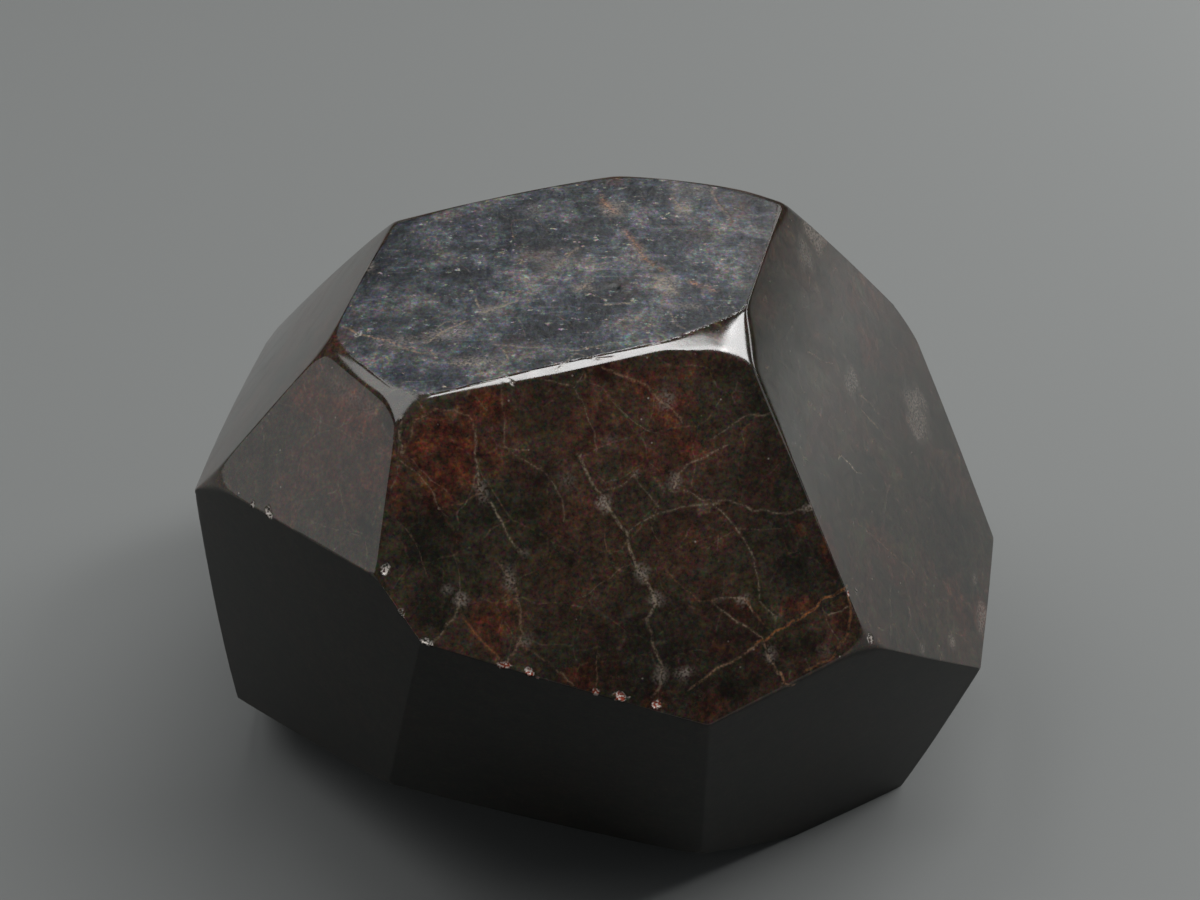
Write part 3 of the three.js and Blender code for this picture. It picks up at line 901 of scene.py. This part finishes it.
# Fine fractures: a net of hairlines 3 to 4 mm apart, which comes and goes and stays off the black patches
# and the walls' painted shade.
bend_by = add_node("ShaderNodeVectorMath", {0: coloured["bend"], "Scale": 1.4}, operation="SCALE")
bent = add_node("ShaderNodeVectorMath", {0: in_mm, 1: bend_by}, operation="ADD")
net = add_node("ShaderNodeTexVoronoi", {"Vector": bent, "Scale": 0.27}, feature="DISTANCE_TO_EDGE")
hairline = add_node("ShaderNodeMapRange", {0: net, 1: 0.018, 2: 0.003})
hairline_comes = add_node("ShaderNodeMapRange", {0: mottle, 1: 0.42, 2: 0.66, 3: 0.0, 4: 0.5})
hairline = add_node("ShaderNodeMath", {0: hairline, 1: hairline_comes}, operation="MULTIPLY")
not_black_or_shaded = add_node("ShaderNodeMath", {0: 1.0, 1: black_and_shade_mark}, operation="SUBTRACT", use_clamp=True)
hairline = add_node("ShaderNodeMath", {0: hairline, 1: not_black_or_shaded}, operation="MULTIPLY")
body = add_node("ShaderNodeMix", {0: hairline, 6: body, 7: linear("86735f")}, data_type="RGBA", output=2)

# Mottling of about 1 mm, grains of about 0.3 mm, and coloured specks of about 0.1 mm all through it.
mottle_shade = add_node("ShaderNodeMapRange", {0: mottle, 1: 0.3, 2: 0.7, 3: 0.42, 4: 1.32})
grain_shade = add_node("ShaderNodeMapRange", {0: noises["grain"], 1: 0.3, 2: 0.7, 3: 0.7, 4: 1.35})
shade = add_node("ShaderNodeMath", {0: mottle_shade, 1: grain_shade}, operation="MULTIPLY")
body = add_node("ShaderNodeMix", {
    0: 1.0, 6: body, 7: shade,
}, data_type="RGBA", blend_type="MULTIPLY", output=2)
fine_grain = add_node("ShaderNodeBrightContrast", {"Color": coloured["fine_grain"], "Contrast": 1.0})
body = add_node("ShaderNodeMix", {
    0: 0.9, 6: body, 7: fine_grain,
}, data_type="RGBA", blend_type="OVERLAY", output=2)

# Milky spots.
milk_dust = add_node("ShaderNodeMapRange", {0: dust, 1: 0.38, 2: 0.62, 3: 0.05, 4: 1.0})
milk_share = add_node("ShaderNodeMath", {0: milky_mark, 1: milk_dust}, operation="MULTIPLY")
body = add_node("ShaderNodeMix", {0: milk_share, 6: body, 7: linear("a2958a")}, data_type="RGBA", output=2)

# Healed fractures: pale, orange or dark threads, broken up into dots.
orange_and_glow_share = add_node("ShaderNodeMapRange", {0: warmth_and_glow_mark, 1: 0.55, 2: 1.0})
dark_share = add_node("ShaderNodeMapRange", {0: warmth_and_glow_mark, 1: 0.25, 2: 0.0})
thread_tone = add_node("ShaderNodeMix", {
    0: orange_and_glow_share, 6: linear("ac9a83"), 7: linear("b87240"),
}, data_type="RGBA", output=2)
thread_tone = add_node("ShaderNodeMix", {
    0: dark_share, 6: thread_tone, 7: linear("0a0908"),
}, data_type="RGBA", output=2)
thread_comes = add_node("ShaderNodeMapRange", {0: mottle, 1: 0.36, 2: 0.60, 3: 0.3, 4: 1.1})
thread_dots = add_node("ShaderNodeMapRange", {0: dust, 1: 0.40, 2: 0.58, 3: 0.15, 4: 1.1})
thread_share = add_node("ShaderNodeMath", {0: thread_mark, 1: thread_comes}, operation="MULTIPLY")
thread_share = add_node("ShaderNodeMath", {
    0: thread_share, 1: thread_dots,
}, operation="MULTIPLY", use_clamp=True)
body = add_node("ShaderNodeMix", {0: thread_share, 6: body, 7: thread_tone}, data_type="RGBA", output=2)

# Bright inclusions of about 0.1 mm, a few millimetres apart, and a painted glint on chipped places.
speck_gap = add_node("ShaderNodeTexVoronoi", {"Vector": in_mm, "Scale": 1.3}, output="Distance")
speck_pick = add_node("ShaderNodeSeparateColor", {0: speck_gap.node.outputs["Color"]}, output=1)
speck_comes = add_node("ShaderNodeMapRange", {0: speck_pick, 1: 0.65, 2: 0.95})
speck = add_node("ShaderNodeMapRange", {0: speck_gap, 1: 0.10, 2: 0.05})
speck = add_node("ShaderNodeMath", {0: speck, 1: speck_comes}, operation="MULTIPLY")
speck = add_node("ShaderNodeMath", {0: speck, 1: not_black_or_shaded}, operation="MULTIPLY")
painted_glint_dots = add_node("ShaderNodeMapRange", {0: dust, 1: 0.47, 2: 0.55})
painted_glint = add_node("ShaderNodeMath", {0: chip_glint_mark, 1: painted_glint_dots}, operation="MULTIPLY")
# Along the front shoulder's lower edge, painted red glow between the glints stands for light from inside
# the stone.
painted_glow = add_node("ShaderNodeMath", {0: chip_glint_mark, 1: orange_and_glow_share}, operation="MULTIPLY")
for share, colour in [(speck, "b3a89e"), (painted_glow, "a8452c"), (painted_glint, "f6ece2")]:
    body = add_node("ShaderNodeMix", {0: share, 6: body, 7: linear(colour)}, data_type="RGBA", output=2)

# Polished facets are nearly mirror smooth. The table, the walls and the chips are duller.
polish = add_node("ShaderNodeMapRange", {0: noises["smear"], 1: 0.3, 2: 0.7, 3: 0.07, 4: 0.16})
dull = add_node("ShaderNodeMapRange", {0: table_grain, 1: 0.36, 2: 0.64, 3: 0.5, 4: 0.26})
gloss = polish
for share, roughness in [(table_mark, dull), (wall_mark, 0.42), (chip_glint_mark, 0.3)]:
    gloss = add_node("ShaderNodeMix", {0: share, 2: gloss, 3: roughness}, data_type="FLOAT")

# Heights in millimetres: polishing lines a micron or two deep, and the table's rougher skin.
skin_depth = add_node("ShaderNodeMapRange", {0: table_mark, 3: 0.002, 4: 0.09})
relief = add_node("ShaderNodeMath", {0: noises["skin"], 1: skin_depth}, operation="MULTIPLY")
bump = add_node("ShaderNodeBump", {"Strength": 1.0, "Distance": MM, "Height": relief})

# Painted shade in the walls' reflections: the specular tint makes them send back less of what stands
# before them, as if it lay in shadow.
painted_wall_reflection_shade = add_node("ShaderNodeMix", {
    0: wall_mark, 6: linear("ffffff"), 7: linear("1c1c1c"),
}, data_type="RGBA", output=2)
surface = add_node("ShaderNodeBsdfPrincipled", {
    "Base Color": body, "Specular Tint": painted_wall_reflection_shade, "Roughness": gloss, "IOR": 1.74, "Normal": bump,
})
add_node("ShaderNodeOutputMaterial", {"Surface": surface})
stone_mesh.materials.append(garnet)

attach(stone, "root")
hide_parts("garnet_crystal")

# ---------------------------------------------------------------------------------------------
# Floor and studio light
# A plain pale tabletop under soft light panels: overhead, at the left, behind, and at the right. The
# front stays dim. None of it belongs to the stone.
# ---------------------------------------------------------------------------------------------

floor_mesh = bpy.data.meshes.new("floor")
FLOOR = 3
floor_corners = [(-FLOOR, -FLOOR, 0), (FLOOR, -FLOOR, 0), (FLOOR, FLOOR, 0), (-FLOOR, FLOOR, 0)]
floor_mesh.from_pydata(floor_corners, [], [(0, 1, 2, 3)])
floor = bpy.data.objects.new("floor", floor_mesh)
bpy.context.scene.collection.objects.link(floor)
pale_board = bpy.data.materials.new("pale_matt_board")
pale_board.use_nodes = True
board = pale_board.node_tree.nodes["Principled BSDF"]
board.inputs["Base Color"].default_value = linear("959796")
board.inputs["Roughness"].default_value = 0.7
board.inputs["Specular IOR Level"].default_value = 0.2
floor_mesh.materials.append(pale_board)
floor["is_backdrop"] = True

# Each panel: its name, the way to it from the stone, its distance, width and height in metres, how bright
# it is, and what it faces. The last one is low, behind the stone on the right, and lights the floor there.
STONE_MIDDLE = Vector((0, 0, 0.025))
LIT_FLOOR = Vector((0.26, 0.14, 0))
OVERHEAD = 0.8
PANELS = [
    ("overhead_panel", (0.26, 0.01, 0.96), 0.60, 0.50, 0.085, 9.0, STONE_MIDDLE),
    ("upper_right_panel", (0.67, 0.09, 0.74), 0.60, 0.15, 0.15, 9.0, STONE_MIDDLE),
    ("upper_left_panel", (-0.50, 0.07, 0.86), 0.60, 0.34, 0.39, 1.9, STONE_MIDDLE),
    ("left_panel", (-0.97, -0.05, 0.25), 0.60, 0.42, 0.34, 0.55, STONE_MIDDLE),
    ("back_panel", (0.34, 0.71, 0.61), 0.70, 0.54, 0.42, 1.1, STONE_MIDDLE),
    ("right_panel", (0.92, -0.12, 0.37), 0.60, 0.30, 0.16, 0.6, STONE_MIDDLE),
    ("low_panel", (0.87, 0.47, 0.32), 0.30, 0.16, 0.16, 3.8, LIT_FLOOR),
]
for name, way, distance, width, height_of_panel, brightness, target in PANELS:
    light = bpy.data.lights.new(name, "AREA")
    light.shape = "RECTANGLE"
    light.size, light.size_y = width, height_of_panel
    # A panel that looks evenly bright gives off pi watts for each square metre and unit of brightness.
    light.energy = brightness * math.pi * width * height_of_panel
    panel = bpy.data.objects.new(name, light)
    panel.location = STONE_MIDDLE + Vector(way).normalized() * distance
    # A panel's width runs level: left to right when it faces nearly down, and otherwise across its view.
    backward = (panel.location - target).normalized()
    is_overhead = backward.z > OVERHEAD
    width_way = Vector((0, 1, 0) if is_overhead else (0, 0, 1)).cross(backward).normalized()
    panel.rotation_euler = Matrix((width_way, backward.cross(width_way), backward)).transposed().to_euler()
    panel.visible_camera = False
    bpy.context.scene.collection.objects.link(panel)

world = bpy.data.worlds.new("dim_room")
world.use_nodes = True
world.node_tree.nodes["Background"].inputs["Color"].default_value = linear("404346")
world.node_tree.nodes["Background"].inputs["Strength"].default_value = 0.6
bpy.context.scene.world = world
bpy.context.scene.view_settings.view_transform = "Standard"

# ---------------------------------------------------------------------------------------------
# Camera
# A short telephoto view, looking down at the front of the stone by 39 degrees.
# ---------------------------------------------------------------------------------------------

AIM = Vector((-0.93, 7.09, 17.91)) * MM
LOOK_DOWN = math.radians(38.87)
ROLL = math.radians(0.25)
STAND_OFF = 146.3 * MM
FOCAL_LENGTH = 59.03
back = Vector((0, -math.cos(LOOK_DOWN), math.sin(LOOK_DOWN)))
side, upward = Vector((1, 0, 0)), Vector((0, math.sin(LOOK_DOWN), math.cos(LOOK_DOWN)))
rolled_side = side * math.cos(ROLL) + upward * math.sin(ROLL)
rolled_up = upward * math.cos(ROLL) - side * math.sin(ROLL)
camera_data = bpy.data.cameras.new("camera")
camera_data.lens = FOCAL_LENGTH
camera_data.sensor_width = 36
camera_data.clip_start = 0.01
camera = bpy.data.objects.new("camera", camera_data)
camera.matrix_world = Matrix.Translation(AIM + back * STAND_OFF) @ Matrix(
    (rolled_side, rolled_up, back)
).transposed().to_4x4()
bpy.context.scene.collection.objects.link(camera)
bpy.context.scene.camera = camera

low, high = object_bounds()
